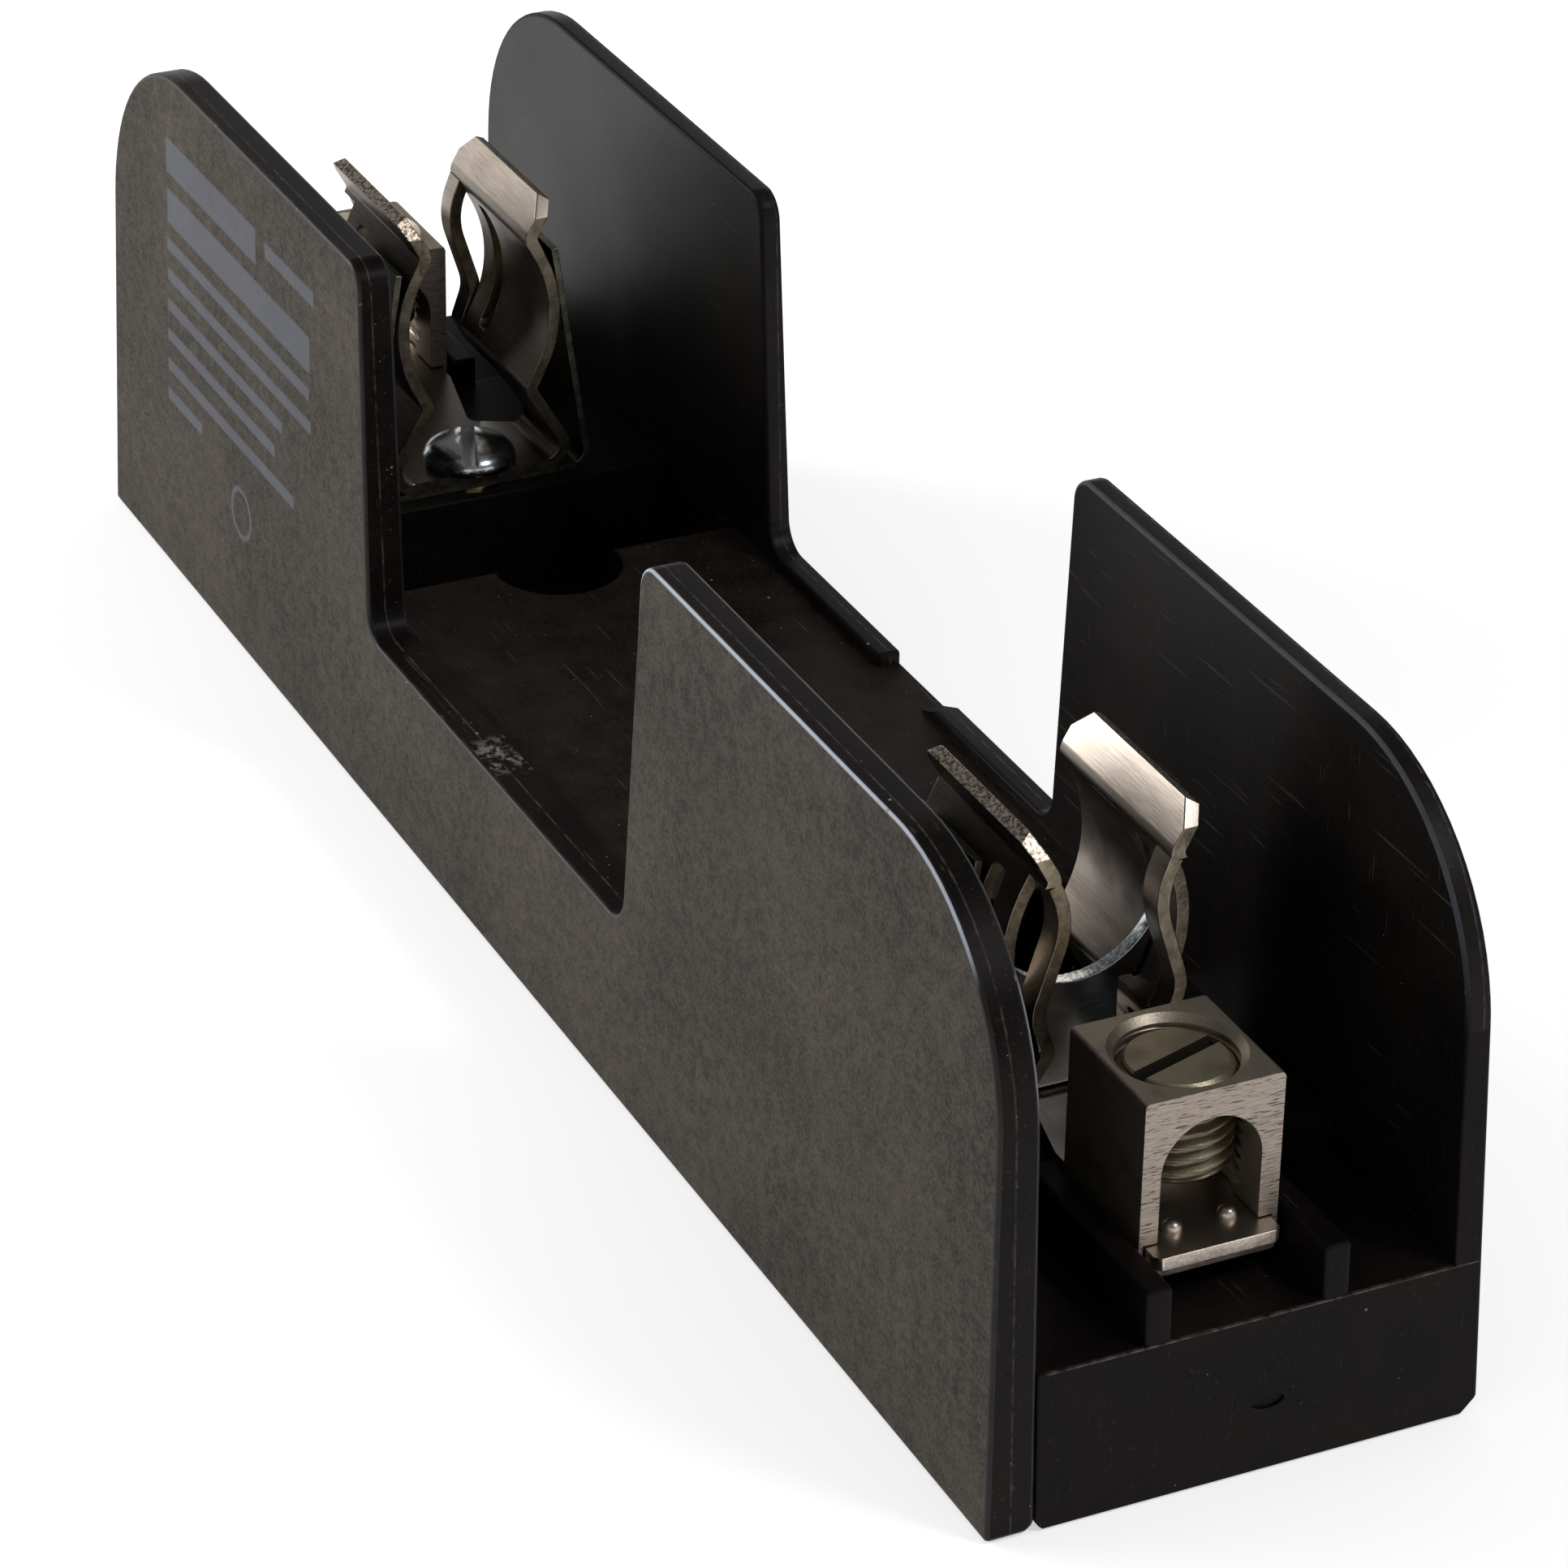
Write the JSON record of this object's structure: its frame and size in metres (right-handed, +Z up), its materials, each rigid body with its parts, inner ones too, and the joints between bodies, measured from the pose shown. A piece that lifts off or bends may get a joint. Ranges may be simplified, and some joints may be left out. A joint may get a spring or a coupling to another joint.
{
  "type": "fuse block",
  "caption": "Single-pole moulded fuse block with spring clips for a cartridge fuse, a rejection plate in one clip and a box lug for a wire at each end.",
  "frame": {"origin": "middle of the underside", "axes": "+X along the block towards the end with the rejection plate, -Y towards the separate side plate, +Z up out of the clips"},
  "size_m": [0.178, 0.0397, 0.0481],
  "materials": {
    "phenolic": "satin moulded phenolic, nearly black brown",
    "phenolic_plate": "matte moulded phenolic with fine rubbing marks",
    "plated_bronze": "bright tin plated spring bronze",
    "spring_steel": "dark zinc plated spring steel",
    "zinc_steel": "bluish bright zinc plate",
    "insert_brass": "turned brass",
    "lug_aluminium": "tin plated aluminium extrusion, sawn ends",
    "screw_aluminium": "plated, dull"
  },
  "bodies": {
    "block": {"base_block": "phenolic", "side_plate": "phenolic_plate", "rejection_plate": "zinc_steel", "clip_near": "plated_bronze", "spring_near": "spring_steel", "clip_screw_near": "zinc_steel", "clip_insert_near": "insert_brass", "lug_near": "lug_aluminium", "clip_far": "plated_bronze", "spring_far": "spring_steel", "clip_screw_far": "zinc_steel", "clip_insert_far": "insert_brass", "lug_far": "lug_aluminium"},
    "wire_screw_near": {"lug_screw_near": "screw_aluminium"},
    "wire_screw_far": {"lug_screw_far": "screw_aluminium"}
  },
  "joints": [
    {"name": "lug_screw_near_travel", "type": "slide", "parent": "block", "child": "wire_screw_near", "axis": [0, 0, 1], "range_m": [-0.0021, 0.006]},
    {"name": "lug_screw_far_travel", "type": "slide", "parent": "block", "child": "wire_screw_far", "axis": [0, 0, 1], "range_m": [-0.0021, 0.006]}
  ]
}
